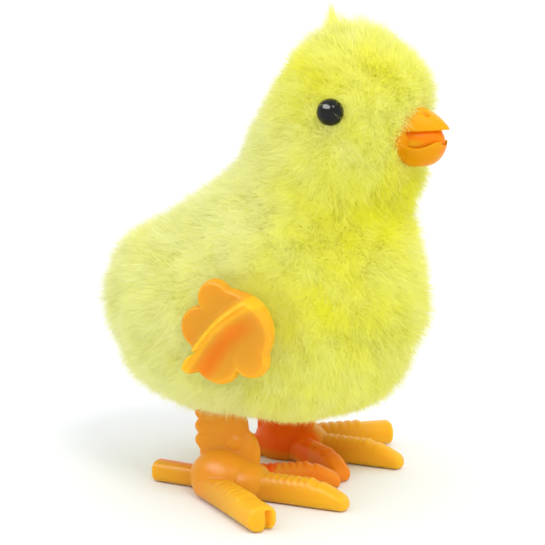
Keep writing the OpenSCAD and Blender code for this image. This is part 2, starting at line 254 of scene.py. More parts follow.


# pile: the colour runs from root to tip along u and from deep to pale along v of the piece's own map, where v
# holds painted shade (deep) and painted light (pale);
# each hair is lit from outside the body on both of its faces, so the back face lets the light through
def pileFinish():
    f = Finish("lemonPile")
    where = f.node("ShaderNodeUVMap", {"uv_map": "OFBake"})
    along = f.node("ShaderNodeSeparateXYZ", {}, {0: where})
    pale = Wire(f, along.socket.node.outputs[1])
    deep = f.node("ShaderNodeValToRGB", {"stops": [(0, pileColour["root"]), (0.35, pileColour["middle"]),
                                                   (1, pileColour["tip"])]}, {0: along})
    light = f.node("ShaderNodeValToRGB", {"stops": [(0, pileColour["paleRoot"]),
                                                    (1, pileColour["paleTip"])]}, {0: along})
    colour = f.between(pale, deep, light)
    solid = f.surface({"Base Color": colour, "Roughness": 0.75, "Specular IOR Level": 0.15,
                       "Sheen Weight": 0.25, "Sheen Roughness": 0.5, "Sheen Tint": (1, 1, 0.75, 1)})
    through = f.node("ShaderNodeBsdfTranslucent", {}, {"Color": colour})
    back = f.node("ShaderNodeNewGeometry", output=6)
    share = pileColour["through"] + back * (1 - 2 * pileColour["through"])
    return f.done(f.node("ShaderNodeMixShader", {}, {0: share, 1: solid, 2: through}))


# moulded plastic: its painted light and shade run from deep red-orange in painted shade through orange to a
# light yellow-orange in painted light, with faint flow marks and a soft uneven gloss
def plasticFinish(name, colours, gloss, depth):
    f = Finish(name)
    tone = f.node("ShaderNodeAttribute", {"attribute_name": "tone"}, output=2)
    flow = f.noise(95, 3)
    grain = f.noise(1400, 2)
    place = (tone + (flow - 0.5) * 0.22).clipped()
    colour = f.node("ShaderNodeValToRGB", {"stops": list(zip((0, 0.5, 1), colours))}, {0: place})
    rough = gloss + (flow - 0.5) * 0.16 + (grain - 0.5) * 0.08
    bump = f.bump(flow * 0.6 + grain * 0.4, 0.12, 0.0002)
    return f.done(f.surface({"Base Color": colour, "Roughness": rough, "Normal": bump,
                             "Subsurface Weight": depth, "Subsurface Scale": 0.005,
                             "Subsurface Radius": (1.0, 0.38, 0.08), "Specular IOR Level": 0.10}))


# polished bead with a trace of haze
def beadFinish():
    f = Finish("blackBead")
    haze = f.noise(420, 2)
    return f.done(f.surface({"Base Color": (0.006, 0.007, 0.005, 1), "Roughness": 0.06 + haze * 0.06,
                             "Specular IOR Level": 0.22}))


# dull moulded plastic of the parts inside
def innerPlastic(name, colour):
    f = Finish(name)
    cloud = f.noise(300, 2)
    dark = tuple(0.86 * c for c in colour[:3]) + (1,)
    return f.done(f.surface({"Base Color": f.between(cloud, colour, dark), "Roughness": 0.42 + cloud * 0.12,
                             "Normal": f.bump(cloud, 0.1, 0.0001)}))


# plated or blued steel with fine brush marks
def metalFinish(name, colour, rough):
    f = Finish(name)
    brushed = f.noise(900, 4)
    dark = tuple(0.75 * c for c in colour[:3]) + (1,)
    return f.done(f.surface({"Base Color": f.between(brushed, colour, dark), "Metallic": 1.0,
                             "Roughness": rough + brushed * 0.15, "Normal": f.bump(brushed, 0.15, 0.00005)}))


pile = pileFinish()
# the orange plastic in painted shade, in middle light and in painted light
orangePlastic = plasticFinish("orangePlastic", ((0.84, 0.135, 0.003, 1), (0.71, 0.335, 0.022, 1),
                                                (0.90, 0.48, 0.022, 1)), 0.34, 0.7)
# the beak plastic in painted shade, in middle light and in painted light
beakPlastic = plasticFinish("beakPlastic", ((0.90, 0.215, 0.001, 1), (0.80, 0.32, 0.002, 1),
                                            (0.86, 0.42, 0.004, 1)), 0.36, 0.30)
bead = beadFinish()
nylon = innerPlastic("whiteNylon", (0.80, 0.80, 0.77, 1))
casePlastic = innerPlastic("casePlastic", (0.30, 0.32, 0.35, 1))
steel = metalFinish("platedSteel", (0.62, 0.62, 0.64, 1), 0.28)
blueSteel = metalFinish("springSteel", (0.22, 0.25, 0.32, 1), 0.25)
print("finishes made")


# the plush skin, and the places of the parts that its pile has to keep clear of
plush = {
    # height, rear end, front end, half width
    "stations": [
        [15.2, -19, 14.5, 15.2], [16.4, -22.5, 18.4, 17.2], [19.4, -27, 22.4, 20.7], [24, -31, 26, 23.7],
        [31, -34.6, 29.2, 25.3], [38, -36.2, 30.2, 26], [45, -33.2, 30.3, 24.2], [50, -24, 28.2, 22],
        [54, -18.2, 26, 20.2], [58, -12.6, 26.4, 18.6], [63, -7.2, 29, 17.6], [70, -4, 30.2, 16.8],
        [76, -0.8, 30.2, 15.2], [81.5, 3, 28.5, 12.8], [85, 6, 23.6, 9.8], [87.5, 9.5, 19, 5.6],
        [88.5, 13.5, 16.5, 1.5]],
    "pileDepth": 3.0,       # how far the woven backing lies inside the outer size
    "midWidth": 22.0,
    "swell": 0.45,          # uneven stuffing under the pile
    "swellLength": 16.0,
    "seed": 11,
}
eyes = {"radius": 2.45, "x": 16.8, "y": 15.0, "z": 72.9, "side": 6, "hollow": 0.5, "hollowSize": 5.5}
wing = {
    "x": 2.5, "z": 34.4, "y": 25.0, "thick": 3.0,
    # sideways and upward place of each feather lobe, and its radius; the last is the round middle
    "lobes": [(-2.9, 6.2, 3.1), (-5.6, 0.4, 3.9), (-6.6, -6.4, 1.6), (-1.8, -6.0, 3.8),
              (4.4, -4.8, 3.3), (-0.4, 3.0, 4.9), (1.3, 0.2, 7.2)],
    # the grip's crest runs along a bend through three places
    "crest": [(5.6, 6.0), (-1.4, 3.2), (-7.6, -7.6)],
    "gripHigh": 3.1, "steepSide": 1.15, "slopeSide": 2.3, "dish": 1.0,
}
beak = {"face": 18, "root": 24.0, "tip": 34.0, "mouth": 68.6, "wide": 4.7, "ridge": 4.2}
foot = {
    "x": -4.0, "y": 14.2, "legY": 13.0, "legX": -5.0, "legShift": -1.2, "legWide": 8.9, "legThick": 2.8,
    # root behind and outside the ankle, length, bearing outwards from straight ahead, ribs and end
    "toes": [(0.0, 0.4, 24.8, 0, 8, "claw"), (-3.2, 2.7, 24.4, 38.5, 6, "blunt"),
             (0.0, -0.3, 21.8, -36, 7, "claw"), (0.0, -1.4, 17.0, -176, 0, "plain")],
    "ribHigh": 0.50, "voxel": 0.18, "soften": 2, "windowZ": 26.5, "windowR": 3.65, "rimR": 4.9,
}
stationRows = np.array(plush["stations"], float)
lastRow = len(stationRows) - 1.001


# the station at a fractional row number, by a Catmull-Rom curve through the rows
def stationAt(s):
    k = np.clip(np.floor(s).astype(int), 0, len(stationRows) - 2)
    f = (s - k)[..., None]
    p, q, r, t = (stationRows[np.clip(k + i, 0, len(stationRows) - 1)] for i in (-1, 0, 1, 2))
    return 0.5 * (2 * q + (r - p) * f + (2 * p - 5 * q + 4 * r - t) * f * f
                  + (3 * q - p - 3 * r + t) * f ** 3)


# a point of the skin: an ellipse round the station, drawn in by inset
def skinPoint(s, turn, inset):
    row = stationAt(s)
    low, high = stationRows[0, 0], stationRows[-1, 0]
    shrink = 1 - inset / plush["midWidth"]
    z = low + (row[..., 0] - low) * (1 - inset / (high - low))
    x = (row[..., 1] + row[..., 2]) / 2 + (row[..., 2] - row[..., 1]) / 2 * shrink * np.cos(turn)
    y = row[..., 3] * shrink * np.sin(turn)
    return np.stack([x, y, z + 0 * x], -1)


# outward normal: cross product of the two slopes of skinPoint
def skinNormal(s, turn, inset):
    h = 0.01
    across = skinPoint(s, turn + h, inset) - skinPoint(s, turn - h, inset)
    above, below = np.clip(s + h, 0, lastRow), np.clip(s - h, 0, lastRow)
    up = skinPoint(above, turn, inset) - skinPoint(below, turn, inset)
    return unitRows(np.cross(across, up))


# how far the eyes and the beak draw the backing in: a bell round each
def eyeHollow(points):
    off = points - np.array([beak["tip"] - 6, 0, beak["mouth"] - 1.4])
    deep = 3.6 * np.exp(-(0.45 * off[..., 1] ** 2 + off[..., 2] ** 2) / 20) * (off[..., 0] > -9)
    for side in (-1, 1):
        centre = np.array([eyes["x"], side * eyes["y"], eyes["z"]])
        deep = deep + eyes["hollow"] * np.exp(-((points - centre) ** 2).sum(-1) / eyes["hollowSize"] ** 2)
    return deep


def backingPoint(s, turn):
    point = skinPoint(s, turn, plush["pileDepth"])
    normal = skinNormal(s, turn, plush["pileDepth"])
    swell = plush["swell"] * waves(point, plush["swellLength"], plush["seed"])
    return point + normal * (swell - eyeHollow(point))[..., None], normal


tufts = {
    "count": 11000, "hairs": 37, "rings": 3, "spread": 0.95, "length": 5.6, "headLength": 4.8,
    "thick": 0.092, "gather": 0.34, "lift": 0.82, "curl": 0.85, "seed": 5,
}
# the wisp on the crown: root and end, spread of its roots and number of hairs
wisp = {"root": (11.6, 0, 85.2), "end": (10.6, 0, 90.6), "spread": 1.6, "hairs": 420, "seed": 12}
# loose single hairs between the tufts
fuzz = {"count": 20000, "thick": 0.07, "seed": 8, "spread": 0.3, "gather": 0.1, "lift": 0.86, "curl": 0.9,
        "stretch": 1.12}
hairLimit = 64000


# points spread evenly over the backing: cells of a fine grid drawn in proportion to their area
def scatter(count, rng):
    rows, cols = 320, 256
    s = np.linspace(0, lastRow, rows + 1)
    turn = np.linspace(0, 2 * math.pi, cols + 1)
    point = skinPoint(s[:, None], turn[None, :], plush["pileDepth"])
    a = point[1:, :-1] - point[:-1, :-1]
    b = point[:-1, 1:] - point[:-1, :-1]
    area = np.linalg.norm(np.cross(a, b), axis=-1).ravel()
    cell = rng.choice(len(area), count, p=area / area.sum())
    i, j = np.divmod(cell, cols)
    return (s[i] + rng.random(count) * (s[1] - s[0]), turn[j] + rng.random(count) * (turn[1] - turn[0]))


# sideways distance from the nearer eye, measured along the cheek
def eyeGap(point):
    return np.hypot(point[:, 0] - eyes["x"], point[:, 2] - eyes["z"])


# heights where the head and the crown begin, and how hard each part turns the pile towards or away from it
comb = {
    "neck": 59, "neckSoft": 2.5, "chest": 14, "chestSoft": 6, "crown": 74, "crownDeep": 10,
    "beakPush": 2.2, "beakReach": 60, "wingPush": 2.5, "wingFrom": 8,
    # push away from the bead at one distance, and pull towards it closer in
    "eyePush": 1.5, "pushAt": 6.2, "pushSoft": 1.4, "eyePull": 3.5, "pullAt": 3.3, "pullSoft": 1.2,
}


# soft step from 0 to 1 about a place
def softStep(value, place, soft):
    return 1 / (1 + np.exp(-(value - place) / soft))


# where the pile is combed: down and back on the body, back over the crown, down the cheeks and chest
def combField(point, normal):
    x, y, z = point[:, 0], point[:, 1], point[:, 2]
    head = softStep(z, comb["neck"], comb["neckSoft"])
    front = softStep(x, comb["chest"], comb["chestSoft"])
    body = np.stack([-0.75 + 0.55 * front, 0.15 * np.sign(y), -0.75 - 0.2 * front], -1)
    crown = np.clip((z - comb["crown"]) / comb["crownDeep"], 0, 1)
    skull = np.stack([-0.55 - 0.35 * crown, 0.25 * np.sign(y) * (1 - crown), -0.75 + 0.85 * crown], -1)
    way = body * (1 - head)[:, None] + skull * head[:, None]
    beakAxis = np.array([beak["root"], 0, beak["mouth"]])
    away = point - beakAxis
    away[:, 0] *= 0.2
    near = np.exp(-(away ** 2).sum(-1) / comb["beakReach"]) * (x > beak["face"])
    way = way + unitRows(away) * (comb["beakPush"] * near)[:, None]
    fromWing = point - np.array([wing["x"], 0, wing["z"]])
    fromWing[:, 1] = 0
    gap = np.linalg.norm(fromWing, axis=-1)
    byWing = np.exp(-np.clip(gap - comb["wingFrom"], 0, None) ** 2 / 12) * (y < -5)
    way = way + unitRows(fromWing) * (comb["wingPush"] * byWing)[:, None]
    off = point - np.array([eyes["x"], 0, eyes["z"]])
    off[:, 1] = 0
    gap = eyeGap(point)
    push = (comb["eyePush"] * np.exp(-((gap - comb["pushAt"]) / comb["pushSoft"]) ** 2)
            - comb["eyePull"] * np.exp(-((gap - comb["pullAt"]) / comb["pullSoft"]) ** 2))
    way = way + unitRows(off) * (push * (np.abs(y) > eyes["side"]))[:, None]
    flat = way - normal * (way * normal).sum(-1, keepdims=True)
    return unitRows(flat)


# length of the pile: short by the beak, under the wing and at the hem, a longer ring about each eye
def pileLength(point):
    x, y, z = point[:, 0], point[:, 1], point[:, 2]
    head = softStep(z, 60, 3)
    length = tufts["length"] * (1 - head) + tufts["headLength"] * head
    gap = eyeGap(point)
    byEye = 0.78 + 0.22 * np.clip((gap - 5.0) / 3.0, 0, 1) + 0.40 * np.exp(-((gap - 3.5) / 0.8) ** 2)
    length = length * np.where(np.abs(y) > eyes["side"], byEye, 1)
    off = np.hypot(y, z - beak["mouth"] + 1.4)
    length = length * np.where(x > beak["face"], 0.20 + 0.80 * np.clip((off - 4.6) / 4.6, 0, 1), 1)
    gap = np.hypot(x - wing["x"], z - wing["z"])
    length = length * np.where(y < -5, 0.38 + 0.62 * np.clip((gap - 8.6) / 4.5, 0, 1), 1)
    length = length * (1 + 0.16 * np.clip((z - 79) / 7, 0, 1))
    return length * (0.30 + 0.70 * np.clip((z - 15.5) / 7, 0, 1))


# false where no pile grows: under the eyes and the beak
def pileGrows(point):
    keep = (eyeGap(point) > 2.2) | (np.abs(point[:, 1]) < eyes["side"])
    off = np.hypot(point[:, 1] / 1.25, point[:, 2] - beak["mouth"] + 0.4)
    return keep & ~((point[:, 0] > beak["face"]) & (off < 4.5))


# forward and upward places on the skin with their painted light and shade, 0 deep yellow where shade falls,
# as in the hollow above the eye and under the beak, and 1 cream where light catches the pile
shade = {
    "places": [(-4.7, 53.8, 1.0), (-17, 40, 0.79), (18.7, 37.5, 0.17), (26.8, 42.2, 0.35), (11.5, 22.5, 0.58),
               (8.3, 69.5, 0.88), (22.6, 80, 0.32), (15.6, 87, 0.72), (22.7, 63.8, 0.54), (20, 55.2, 0.0),
               (26, 57.5, 0.05), (12, 47.2, 0.44), (-9.5, 47.6, 0.93), (-15, 30.6, 0.92), (-5.8, 21, 0.93),
               (21, 27, 0.44), (28.5, 29.7, 0.71), (12.5, 61, 0.44), (3, 56.8, 0.97), (12.6, 75.6, 0.08),
               (29, 76.5, 0.67), (-24, 37, 1.0), (17.4, 68.4, 0.75), (26.2, 66.3, 0.32), (30, 46, 0.92),
               (13.8, 31.3, 0.48), (14, 56.5, 0.25)],
    "reach": 4.2, "patch": 0.12, "patchLength": 6.0,
}


# painted light and shade anywhere: the mean of the named places, weighted by a bell of their distance, with
# random patches and speckle of tone added
def paintedPaleness(point, rng):
    places = np.array(shade["places"])
    gap = (point[:, 0:1] - places[:, 0]) ** 2 + (point[:, 2:3] - places[:, 1]) ** 2
    weight = np.exp(-(gap - gap.min(1, keepdims=True)) / (2 * shade["reach"] ** 2))
    pale = (weight * places[:, 2]).sum(1) / weight.sum(1)
    patch = waves(point, shade["patchLength"], 23)
    return np.clip(pale + shade["patch"] * patch + rng.normal(0, 0.05, len(point)), 0.02, 0.98)


# ribbons from centre lines: rows of points with a width across, a pointed end, shared by all hairs
def ribbons(name, line, across, width, facing, pale):
    count, rings = line.shape[:2]
    t = np.linspace(0, 1, rings)
    half = width[:, None] * (0.5 * (1 - 0.72 * t[:-1]) ** 0.8)[None, :]
    left = line[:, :-1] - across[:, None] * half[..., None]
    right = line[:, :-1] + across[:, None] * half[..., None]
    each = 2 * (rings - 1) + 1
    points = np.concatenate([np.stack([left, right], 2).reshape(count, -1, 3), line[:, -1:]], 1)
    k = np.arange(rings - 2)[:, None] * 2
    tri = np.vstack([k + [0, 1, 3], k + [0, 3, 2], [[each - 3, each - 2, each - 1]]])
    faces = (np.arange(count)[:, None, None] * each + tri[None]).reshape(-1, 3)
    piece = makeMesh(name, points.reshape(-1, 3), faces)
    mesh = piece.data
    u = np.concatenate([np.repeat(t[:-1], 2), [1.0]])
    uv = np.stack([np.broadcast_to(0.02 + 0.96 * u, (count, each)),
                   np.broadcast_to(pale[:, None], (count, each))], -1).reshape(-1, 2)
    layer = mesh.uv_layers.new(name="OFBake")
    layer.data.foreach_set("uv", uv[faces.ravel()].astype(np.float32).ravel())
    normals = np.repeat(facing, each, axis=0)
    mesh.normals_split_custom_set_from_vertices(normals.astype(np.float32))
    return piece


# centre lines of one layer: each hair leaves its root near the normal and bends to the comb direction
def growTufts(spec, seed, clumps, hairs, stretch):
    rng = np.random.default_rng(seed)
    s, turn = scatter(clumps, rng)
    root, normal = backingPoint(s, turn)
    keep = pileGrows(root)
    s, turn, root, normal = s[keep], turn[keep], root[keep], normal[keep]
    lie = combField(root, normal)
    side = np.cross(normal, lie)
    swirl = 0.5 * waves(root, 11, 31) + 0.22 * waves(root, 4.5, 37) + rng.normal(0, 0.42, len(root))
    lie = lie * np.cos(swirl)[:, None] + side * np.sin(swirl)[:, None]
    side = np.cross(normal, lie)
    length = pileLength(root) * rng.uniform(0.78, 1.14, len(root)) * stretch
    lift = spec["lift"] * rng.uniform(0.72, 1.22, len(root))
    # each tuft takes the painted light and shade of its root
    pale = paintedPaleness(root, rng)
    n = len(root)
    shape = (n, hairs)
    offA = rng.normal(0, spec["spread"], shape)
    offB = rng.normal(0, spec["spread"], shape)
    ownLength = length[:, None] * rng.uniform(0.72, 1.08, shape)
    stray = rng.normal(0, 0.16, shape + (3,))
    bend = rng.normal(0, spec["curl"], shape)
    t = np.linspace(0, 1, spec["rings"])
    rise = lift[:, None] * (t - 0.30 * t * t)
    lean = (1.12 - lift)[:, None] * (0.45 * t + 0.75 * t * t)
    hold = 1 - spec["gather"] * t ** 1.3
    start = (root[:, None] + side[:, None] * offA[..., None] + lie[:, None] * offB[..., None])
    line = (root[:, None, None] + (start - root[:, None])[:, :, None] * hold[None, None, :, None]
            + ownLength[..., None, None] * (normal[:, None, None] * rise[:, None, :, None]
                                            + lie[:, None, None] * lean[:, None, :, None]
                                            + stray[:, :, None] * (t ** 1.5)[None, None, :, None]
                                            + side[:, None, None]
                                            * (bend[..., None] * 0.22 * t * t)[..., None]))
    line = line.reshape(-1, spec["rings"], 3)
    wide = np.repeat(normal, hairs, 0)
    tangent = unitRows(line[:, -1] - line[:, 0])
    across = unitRows(np.cross(tangent, wide) + rng.normal(0, 0.25, wide.shape))
    face = unitRows(wide * 0.8 + unitRows(np.cross(across, tangent)) * 0.20 + rng.normal(0, 0.05, wide.shape))
    width = spec["thick"] * rng.uniform(0.7, 1.25, len(line))
    paleHair = np.clip(np.repeat(pale, hairs) + rng.normal(0, 0.04, len(line)), 0.02, 0.98)
    return line, across, width, face, paleHair


# keeps hairs clear of the legs and of the winding wing, which move
def trimmed(line):
    x, y, z = line[..., 0], line[..., 1], line[..., 2]
    legs = (np.abs(x - foot["legX"]) < 8.2) & (np.abs(np.abs(y) - foot["legY"]) < 2.2) & (z < 15.0)
    under = (np.hypot(x[:, -1] - wing["x"], z[:, -1] - wing["z"]) < 9.6) & (y[:, -1] < -wing["y"] + 0.2)
    return ~(legs.any(1) | under)


# the wisp: hairs that draw together from a round patch to a point, a little bowed
def crownWisp():
    rng = np.random.default_rng(wisp["seed"])
    count = wisp["hairs"]
    t = np.linspace(0, 1, tufts["rings"])[None, :, None]
    root = np.array(wisp["root"]) + rng.normal(0, wisp["spread"], (count, 3)) * [1, 1, 0.2]
    end = np.array(wisp["end"]) + rng.normal(0, 0.35, (count, 3)) * [1, 1, 3.0]
    bow = rng.normal(0, 0.35, (count, 3))[:, None]
    line = root[:, None] + (end - root)[:, None] * t + bow * np.sin(math.pi * t)
    tangent = unitRows(line[:, -1] - line[:, 0])
    across = unitRows(np.cross(tangent, rng.normal(size=(count, 3)) + (root - wisp["root"]) * 2))
    face = unitRows(np.cross(across, tangent) + np.array([0, 0, 0.6]))
    pale = np.clip(rng.normal(0.6, 0.1, count), 0.02, 0.98)
    return line, across, np.full(count, 0.8 * tufts["thick"]), face, pale


def plushPile():
    layers = [growTufts(tufts, tufts["seed"], tufts["count"], tufts["hairs"], 1), crownWisp()]
    layers.append(growTufts(dict(tufts, **fuzz), fuzz["seed"], fuzz["count"], 1, fuzz["stretch"]))
    line, across, width, face, pale = (np.concatenate(part) for part in zip(*layers))
    keep = trimmed(line)
    line, across, width, face, pale = line[keep], across[keep], width[keep], face[keep], pale[keep]
    order = np.argsort(line[:, 0, 2], kind="stable")
    pieces = []
    parts = int(math.ceil(len(order) / hairLimit))
    for number, chosen in enumerate(np.array_split(order, parts)):
        piece = ribbons(f"pileBand{number + 1}", line[chosen], across[chosen], width[chosen],
                        face[chosen], pale[chosen])
        pieces.append(dress(piece, pile, "chick"))
    print("pile grown:", len(order), "hairs in", parts, "bands")
    return pieces


# woven backing under the pile, closed at the crown and turned in at the hem
def backing():
    rows, cols = 150, 128
    s = np.linspace(0, lastRow, rows)
    turn = np.linspace(0, 2 * math.pi, cols, endpoint=False)
    grid = (np.broadcast_to(s[:, None], (rows, cols)), np.broadcast_to(turn[None, :], (rows, cols)))
    piece = loft("plushBacking", backingPoint(*grid)[0])
    mesh = piece.data
    places = placesOf(piece)
    index = np.empty(len(mesh.loops), np.int32)
    mesh.loops.foreach_get("vertex_index", index)
    # the backing takes the same painted light and shade as the pile
    pale = paintedPaleness(places, np.random.default_rng(3))
    layer = mesh.uv_layers.new(name="OFBake")
    uv = np.stack([np.full(len(index), 0.25), pale[index]], -1)
    layer.data.foreach_set("uv", uv.astype(np.float32).ravel())
    dress(piece, pile, "chick")
    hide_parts("plush_cover", "head_filling", "body_filling")
    return piece


backing()
plushPile()


def eyeBead(name, side, node):
    rows, cols = 33, 48
    t = np.linspace(0.02, math.pi - 0.02, rows)[:, None]
    u = np.linspace(0, 2 * math.pi, cols, endpoint=False)[None, :]
    r = eyes["radius"]
    x = r * np.sin(t) * np.cos(u)
    z = r * np.sin(t) * np.sin(u)
    y = -r * 0.94 * np.cos(t) + 0 * u
    ring = np.stack([eyes["x"] + x, side * (eyes["y"] + y), eyes["z"] + z], -1)
    piece = outward(loft(name, ring))
    dress(piece, bead, "chick")
    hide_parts(node)


eyeBead("eyeBeadRight", -1, "eye_right")
eyeBead("eyeBeadLeft", 1, "eye_left")
print("eyes set")


# ball with three half sizes and a centre
def ball(centre, half, rows=28, cols=40):
    t = np.linspace(0.05, math.pi - 0.05, rows)[:, None]
    a = np.linspace(0, 2 * math.pi, cols, endpoint=False)[None, :]
    ring = np.stack([centre[0] + half[0] * np.sin(t) * np.cos(a), centre[1] + half[1] * np.sin(t) * np.sin(a),
                     centre[2] - half[2] * np.cos(t) + 0 * a], -1)
    return loft("ball", ring)


# upper half: rings along the length, level along the ridge before it falls straight to the tip,
# steep at the sides and slightly hollow below
def upperBeak():
    rows, cols = 44, 64
    t = np.sin(np.linspace(0, math.pi / 2, rows))[:, None]
    a = np.linspace(0, 2 * math.pi, cols, endpoint=False)[None, :]
    blunt = np.sqrt(np.clip(1 - t ** 18, 0, 1))
    wide = (beak["wide"] * np.clip(1 - t ** 1.9, 0, 1) ** 0.8 + 0.3) * blunt
    high = (beak["ridge"] * np.clip(1 - t ** 2.5, 0, 1) ** 1.15 + 0.5) * blunt
    base = beak["mouth"] + 0.35 + 0.3 * t
    up = np.sin(a)
    y = wide * np.sign(np.cos(a)) * np.abs(np.cos(a)) ** 0.72
    z = base + np.where(up > 0, high * np.abs(up) ** 1.1, -0.20 * np.abs(up) + 0.5 * blunt * np.abs(up) ** 4)
    x = beak["root"] + (beak["tip"] - beak["root"]) * t + 0 * a
    for side in (-1, 1):
        dent = np.exp(-((x - 29.9) ** 2 / 0.30 + (y - side * 1.7) ** 2 / 0.22)) * (up > 0)
        z = z - 0.95 * dent
    return outward(loft("beakUpper", np.stack([x, y, z], -1)))


# lower half: a scoop with a round end, its rim dipping between the corner of the mouth and the tip
def lowerBeak():
    rows, cols = 44, 64
    t = np.sin(np.linspace(0, math.pi / 2, rows))[:, None]
    a = np.linspace(0, 2 * math.pi, cols, endpoint=False)[None, :]
    bulge = np.sqrt(np.clip(1 - (np.clip(t - 0.36, 0, 1) / 0.64) ** 3.0, 0, 1)) + 0.02
    wide = 0.93 * beak["wide"] * bulge
    floor = 4.6 * bulge * (1 - 0.35 * (np.clip(0.36 - t, 0, 1) / 0.36) ** 2)
    rim = beak["mouth"] - 0.8 - 1.7 * np.sin(math.pi * t ** 1.1) ** 1.2
    bottom = beak["mouth"] - 1.6 - floor
    nose = (1 - np.clip(bulge, 0, 1)) ** 2
    rim = rim * (1 - nose) + (beak["mouth"] - 2.2) * nose
    bottom = bottom * (1 - nose) + (beak["mouth"] - 2.5) * nose
    down = np.sin(a)
    y = np.where(down < 0, wide, wide - 0.55 * bulge) * np.sign(np.cos(a)) * np.abs(np.cos(a)) ** 0.8
    z = np.where(down < 0, rim + (bottom - rim) * np.abs(down), rim - 2.4 * bulge * np.abs(down) ** 0.5)
    x = beak["root"] + (beak["tip"] - 0.7 - beak["root"]) * t + 0 * a
    return outward(loft("beakLower", np.stack([x, y, z], -1)))


# what closes the mouth between the halves: a rounded block set back from the lips, longer at its foot
def mouthFill():
    rows, cols = 36, 48
    t = np.sin(np.linspace(0, math.pi / 2, rows))[:, None]
    a = np.linspace(0, 2 * math.pi, cols, endpoint=False)[None, :]
    full = np.clip(1 - t ** 3, 0, 1) ** 0.5
    y = (beak["wide"] - 0.95) * full * np.sign(np.cos(a)) * np.abs(np.cos(a)) ** 0.5
    z = beak["mouth"] - 1.6 + 2.4 * np.sign(np.sin(a)) * np.abs(np.sin(a)) ** 0.6 + 0 * t
    end = beak["tip"] - 0.85 - 0.45 * np.abs(z - beak["mouth"] + 1.4)
    x = beak["root"] + (end - beak["root"]) * t
    return outward(loft("mouthFill", np.stack([x, y, z], -1)))


# one moulding: both halves, the corners of the mouth and the cushion at its back;
# painted shade deep in the mouth, at the corners and in the nostrils, painted light on the upper half and
# painted shade on the lower, and a painted highlight along the lips inside the mouth
def wholeBeak():
    corner = [ball((25.3, side * 3.6, beak["mouth"] - 0.9), (1.9, 1.5, 2.6)) for side in (-1, 1)]
    back = ball((25.0, 0, beak["mouth"] - 0.6), (2.2, 4.0, 2.6))
    parts = [upperBeak(), lowerBeak(), mouthFill(), back] + [outward(part) for part in corner]
    piece = fuse(parts, "beakWhole", 0.12, 3)
    x, y, z = placesOf(piece).T
    gap = z - beak["mouth"]
    # painted light on the upper half and painted shade on the lower, as light falls from above
    tone = 0.62 + 0.22 * np.clip(gap / 3, -1, 1) * (x > 26)
    shell = 3.75 * np.sqrt(np.clip(1 - ((x - 26) / 7.4) ** 2, 0, 1))
    # painted shade deep in the mouth, with a painted highlight along the lower lip
    tone = np.where((gap < 0.7) & (gap > -3.6) & (np.abs(y) < shell),
                    0.08 + 0.8 * np.exp(-((x - 28.2) / 1.5) ** 2 - ((gap + 1.8) / 0.55) ** 2), tone)
    # painted shade in the corners of the mouth
    tone = tone - 0.25 * np.exp(-((x - 25.4) ** 2 + gap ** 2) / 3)
    # painted shade in the nostril pits
    nostril = np.exp(-(x - 29.9) ** 2 / 0.35 - (np.abs(y) - 1.7) ** 2 / 0.25) * (gap > 1)
    return paintLightAndShade(piece, tone - 0.6 * nostril)


beakPiece = wholeBeak()
dress(beakPiece, beakPlastic, "chick")
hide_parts("beak")
print("beak set")


# outline radius in each direction: the farthest of the lobe circles, rounded together where they meet
def wingEdge(angle):
    way = np.stack([np.cos(angle), np.sin(angle)], -1)
    reach = []
    for cx, cz, r in wing["lobes"]:
        along = way @ np.array([cx, cz])
        root = r * r - cx * cx - cz * cz + along ** 2
        reach.append(np.where(root > 0, along + np.sqrt(np.clip(root, 0, None)), 0.1))
    reach = np.clip(np.array(reach), 0.1, None)
    return (reach ** 40).sum(0) ** (1 / 40)


# the grip: distance to its bent crest, signed by side, and how far along the crest that is
def gripField(px, pz):
    u = np.linspace(0, 1, 81)[:, None]
    first, bend, last = (np.array(place) for place in wing["crest"])
    line = (1 - u) ** 2 * first + 2 * u * (1 - u) * bend + u * u * last
    way = np.gradient(line, axis=0)
    gx, gz = px[..., None] - line[:, 0], pz[..., None] - line[:, 1]
    k = np.hypot(gx, gz).argmin(-1)
    gx = px - line[k, 0]
    gz = pz - line[k, 1]
    side = np.sign(way[k, 0] * gz - way[k, 1] * gx)
    return np.hypot(gx, gz) * side, u[k, 0]


# outer face: a dished plate with the grip standing on it, steep on one side and sloping on the other, with
# its painted light and shade
def wingFace(px, pz, rim):
    gap, run = gripField(px, pz)
    slope = wing["slopeSide"] * (1 + 0.9 * (1 - run) ** 2)
    grip = np.where(gap < 0, 1 / (1 + (np.abs(gap) / wing["steepSide"]) ** 4.5),
                    1 / (1 + (np.abs(gap) / slope) ** 2.8))
    high = wing["gripHigh"] * (0.62 + 0.38 * np.clip(run * 2.5, 0, 1))
    hollow = wing["dish"] * (1 - rim ** 3) * np.where(gap > 0, 1.0, 0.45)
    hollow = hollow * (1 - np.exp(-(px ** 2 + pz ** 2) / 6.8))
    # painted light: a bright band along the top of the grip and a lighter outer rim beyond it
    crest = np.exp(-(np.clip(np.abs(gap + 0.2) - 0.7, 0, 9) / 0.6) ** 2)
    tone = 0.50 + 0.42 * crest * grip + 0.28 * rim ** 8 * (gap > 0)
    # painted shadow on the slope beside the grip
    tone = tone - 0.30 * np.exp(-((gap - 2.9) / 1.6) ** 2) * np.clip(run * 3, 0, 1)
    return wing["thick"] - hollow + high * grip, tone


